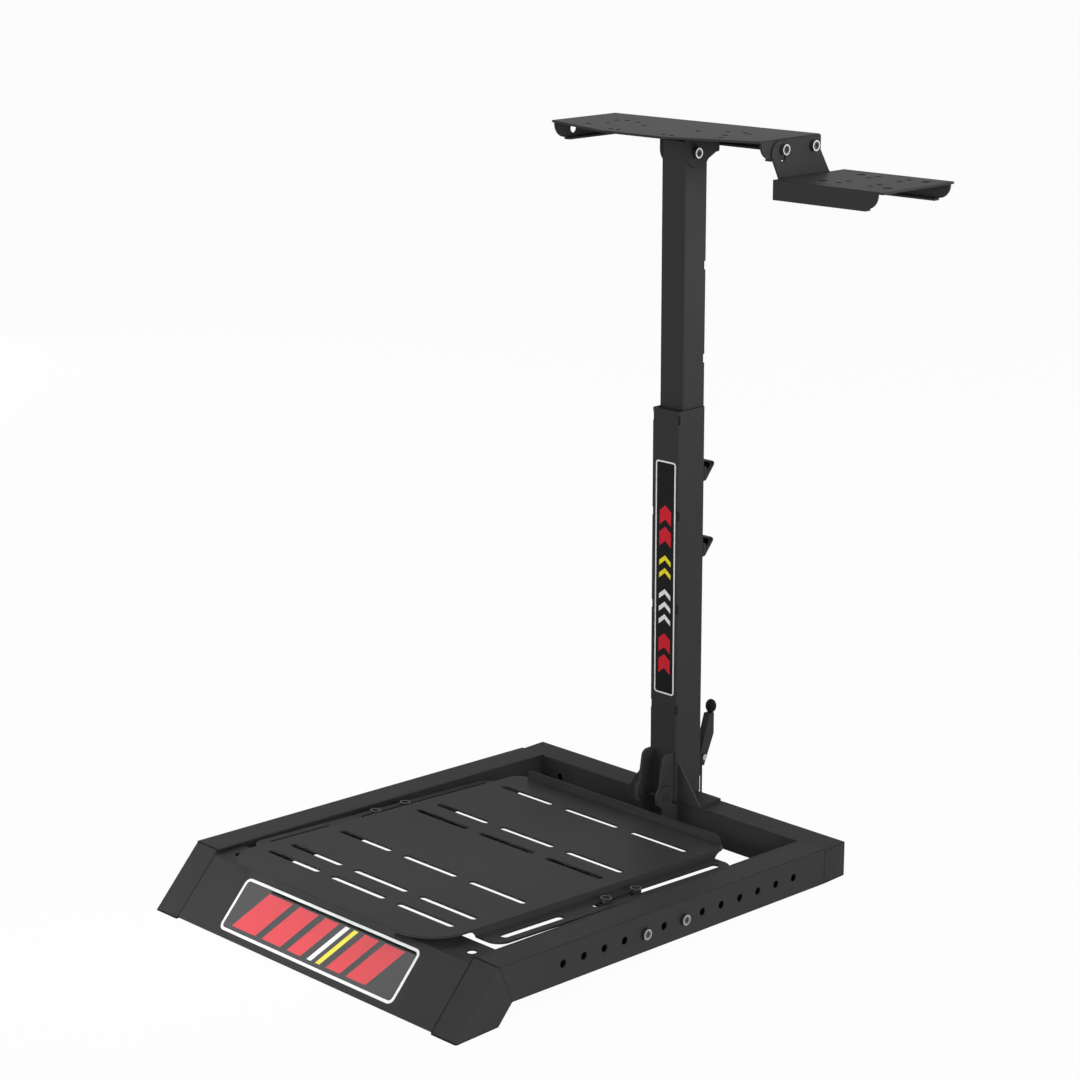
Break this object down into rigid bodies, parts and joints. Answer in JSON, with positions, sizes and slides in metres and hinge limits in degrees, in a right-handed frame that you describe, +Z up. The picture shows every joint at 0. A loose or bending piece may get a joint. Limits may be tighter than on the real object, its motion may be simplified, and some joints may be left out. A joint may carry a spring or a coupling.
{
  "type": "racing wheel stand",
  "caption": "Folding steel stand for a racing wheel: sloped pedal deck in a floor frame, telescopic post, tilting wheel plate and a side shifter mount.",
  "frame": {"origin": "on the floor, under the middle of the rear crossbar", "axes": "+X along the crossbar to the end that the shifter mount is at, +Y towards the driver, +Z up"},
  "size_m": [0.6495, 0.809, 0.9817],
  "materials": {
    "powder_coat": "satin black powder coat",
    "fasteners": "dark zinc",
    "bare_steel": "bright zinc",
    "black_plastic": "moulded black"
  },
  "bodies": {
    "base": {"rear_crossbar": "powder_coat", "crossbar_caps": "black_plastic", "left_rail": "powder_coat", "right_rail": "powder_coat", "left_foot": "powder_coat", "right_foot": "powder_coat", "front_panel": "powder_coat", "hinge_bracket": "powder_coat", "hinge_pins": "fasteners", "latch_catch": "powder_coat", "left_deck_bracket": "powder_coat", "right_deck_bracket": "powder_coat", "rail_bolts": "fasteners", "deck_bolts": "fasteners"},
    "pedal_deck": {"pedal_deck": "powder_coat", "deck_rib": "powder_coat"},
    "post": {"lower_post": "powder_coat", "post_foot_plate": "powder_coat", "left_gusset": "powder_coat", "right_gusset": "powder_coat", "left_hinge_ear": "powder_coat", "right_hinge_ear": "powder_coat", "clamp_straps": "powder_coat", "lower_clamp_knob": "black_plastic", "upper_clamp_knob": "black_plastic", "glide_pads": "black_plastic", "latch_bracket": "powder_coat", "latch_pin": "bare_steel"},
    "latch": {"latch_lever": "powder_coat", "latch_ball": "black_plastic"},
    "mast": {"mast": "powder_coat", "tilt_bolt": "fasteners"},
    "wheel_plate": {"wheel_plate": "powder_coat", "left_tilt_ear": "powder_coat", "right_tilt_ear": "powder_coat", "shifter_bolts": "fasteners"},
    "shifter_mount": {"shifter_plate": "powder_coat"}
  },
  "joints": [
    {"name": "post_fold", "type": "hinge", "parent": "base", "child": "post", "pos_m": [0, -0.047, 0.061], "axis": [1, 0, 0], "range_deg": [0, 88]},
    {"name": "deck_slide", "type": "slide", "parent": "base", "child": "pedal_deck", "axis": [0, -0.9982, 0.0597], "range_m": [-0.018, 0.15]},
    {"name": "mast_slide", "type": "slide", "parent": "post", "child": "mast", "axis": [0, 0, 1], "range_m": [-0.2, 0.08]},
    {"name": "wheel_tilt", "type": "hinge", "parent": "mast", "child": "wheel_plate", "pos_m": [0, -0.0019, 0.9499], "axis": [1, 0, 0], "range_deg": [-15, 20]},
    {"name": "shifter_tilt", "type": "hinge", "parent": "wheel_plate", "child": "shifter_mount", "pos_m": [0.1793, 0.046, 0.9684], "axis": [-1, 0, 0], "range_deg": [0, 10]},
    {"name": "latch_release", "type": "hinge", "parent": "post", "child": "latch", "pos_m": [0, 0.0512, 0.0902], "axis": [1, 0, 0], "range_deg": [0, 15], "stiffness_Nm_per_rad": 0.5, "springref_deg": -8.59}
  ]
}
